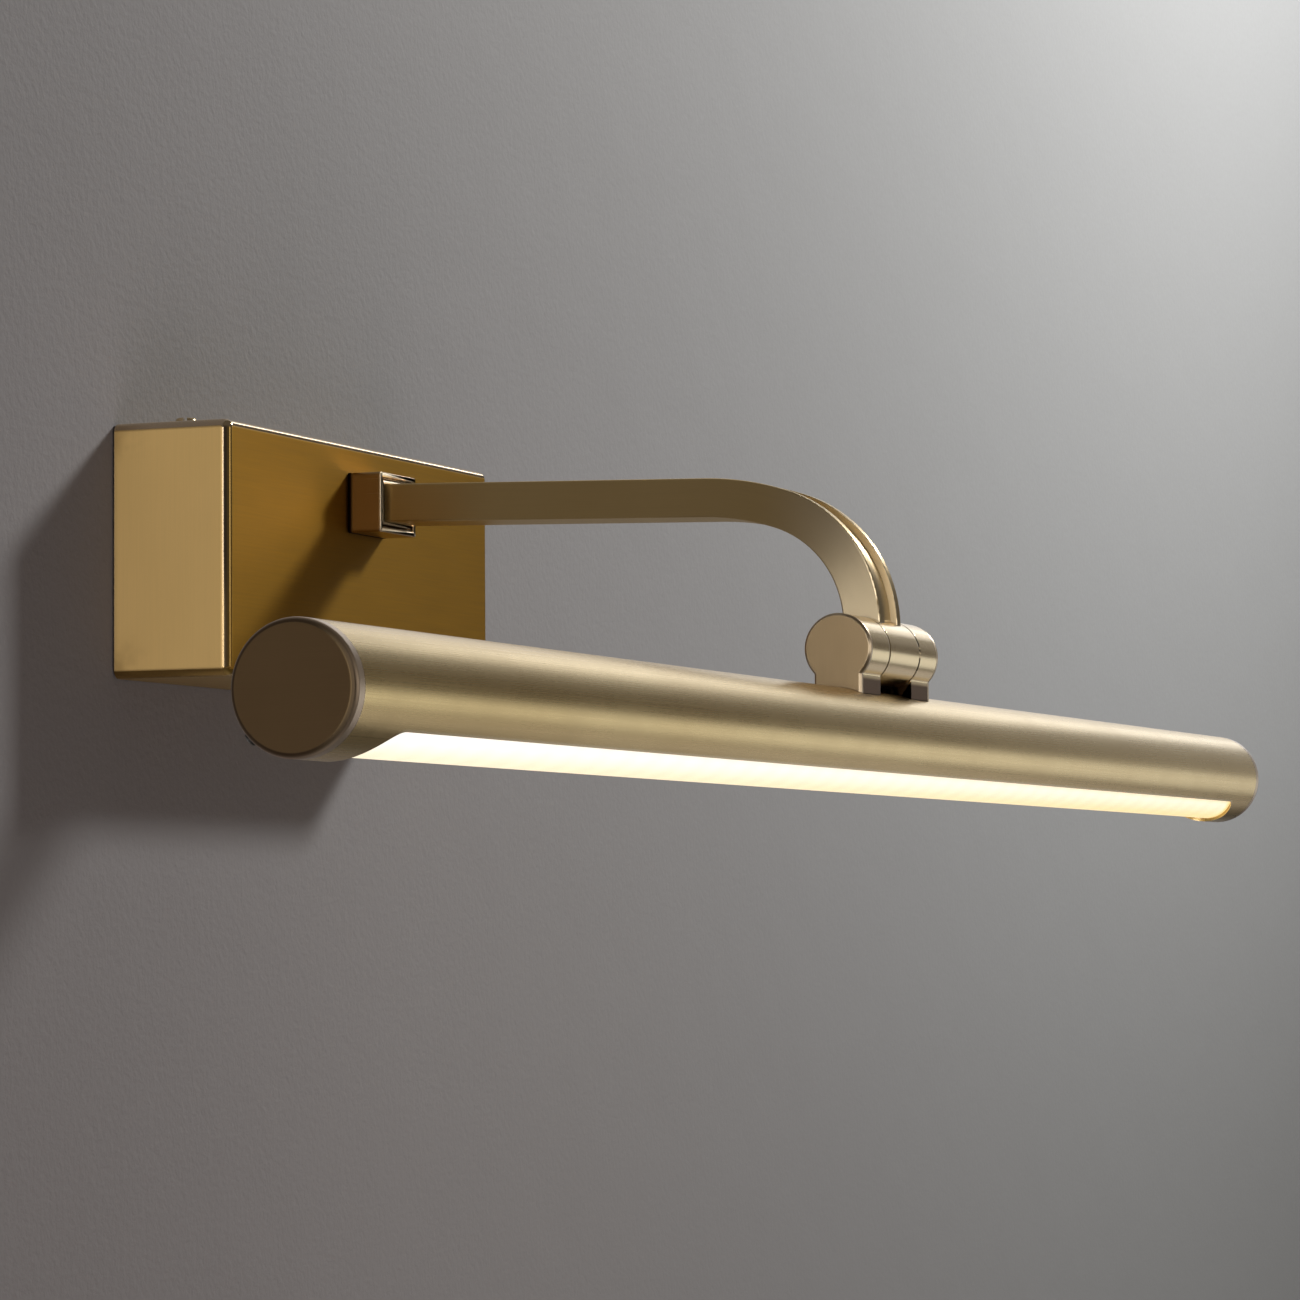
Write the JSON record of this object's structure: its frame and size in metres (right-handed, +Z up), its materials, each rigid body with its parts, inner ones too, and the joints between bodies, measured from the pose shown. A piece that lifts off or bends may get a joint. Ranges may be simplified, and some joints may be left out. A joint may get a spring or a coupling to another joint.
{
  "type": "picture light",
  "caption": "Wall-mounted picture light: rectangular brass wall box, curved arm with inset cover strip, and a long tubular LED head that tilts on a barrel hinge.",
  "frame": {"origin": "centre of the wall box on the wall's surface", "axes": "+Z up, +Y out of the back of the box into the wall, the room is towards -Y, the lamp head lies along X"},
  "size_m": [0.675, 0.1953, 0.1014],
  "materials": {
    "satin_brass": "brushed antique brass, satin lacquer",
    "bright_brass": "polished brass edges",
    "zinc_steel": "zinc plated",
    "dark_steel": "blackened",
    "raw_aluminium": "extruded, natural",
    "frosted_lens": "opal frosted acrylic",
    "circuit_white": "white solder mask on an aluminium core",
    "led_phosphor": "LED package with yellow phosphor",
    "white_plastic": "moulded",
    "terminal_plastic": "moulded polyamide",
    "black_plastic": "moulded",
    "lead_jacket": "pale two-core jacket",
    "mains_brown_blue": "single insulated cores",
    "earth_green": "green and yellow insulation",
    "washer_nylon": "nylon"
  },
  "bodies": {
    "wall_unit": {"wall_plate": "zinc_steel", "ear_nuts": "zinc_steel", "box_cover": "satin_brass", "cover_screws": "bright_brass", "collar": "bright_brass", "collar_liner": "satin_brass", "stiffener_plate": "zinc_steel", "stiffener_studs": "zinc_steel", "stiffener_nuts": "zinc_steel", "arm_retainer": "zinc_steel", "retainer_screws": "zinc_steel", "arm_channel": "satin_brass", "arm_cover_strip": "satin_brass", "arm_lead": "lead_jacket", "arm_knuckle": "satin_brass", "knuckle_set_screw": "dark_steel", "hinge_pin": "zinc_steel", "friction_washers": "washer_nylon", "driver": "white_plastic", "driver_screws": "zinc_steel", "terminal_block": "terminal_plastic", "terminal_screws": "zinc_steel", "mains_wires": "mains_brown_blue", "earth_wire": "earth_green", "earth_stud": "zinc_steel", "earth_tag": "zinc_steel", "earth_nuts": "zinc_steel", "cable_bushing": "black_plastic"},
    "lamp_head": {"foot_left": "satin_brass", "foot_right": "satin_brass", "hinge_cheek_left": "satin_brass", "hinge_cheek_right": "satin_brass", "foot_screws": "zinc_steel", "tube_housing": "satin_brass", "end_cap_left": "satin_brass", "end_cap_right": "satin_brass", "cap_grub_screws": "dark_steel", "diffuser": "frosted_lens", "led_carrier": "raw_aluminium", "led_board": "circuit_white", "led_chips": "led_phosphor", "board_screws": "zinc_steel", "board_connector": "white_plastic", "head_lead": "lead_jacket"}
  },
  "joints": [
    {"name": "head_tilt", "type": "hinge", "parent": "wall_unit", "child": "lamp_head", "pos_m": [0, -0.18133, -0.0278], "axis": [1, 0, 0], "range_deg": [-90, 90]}
  ]
}
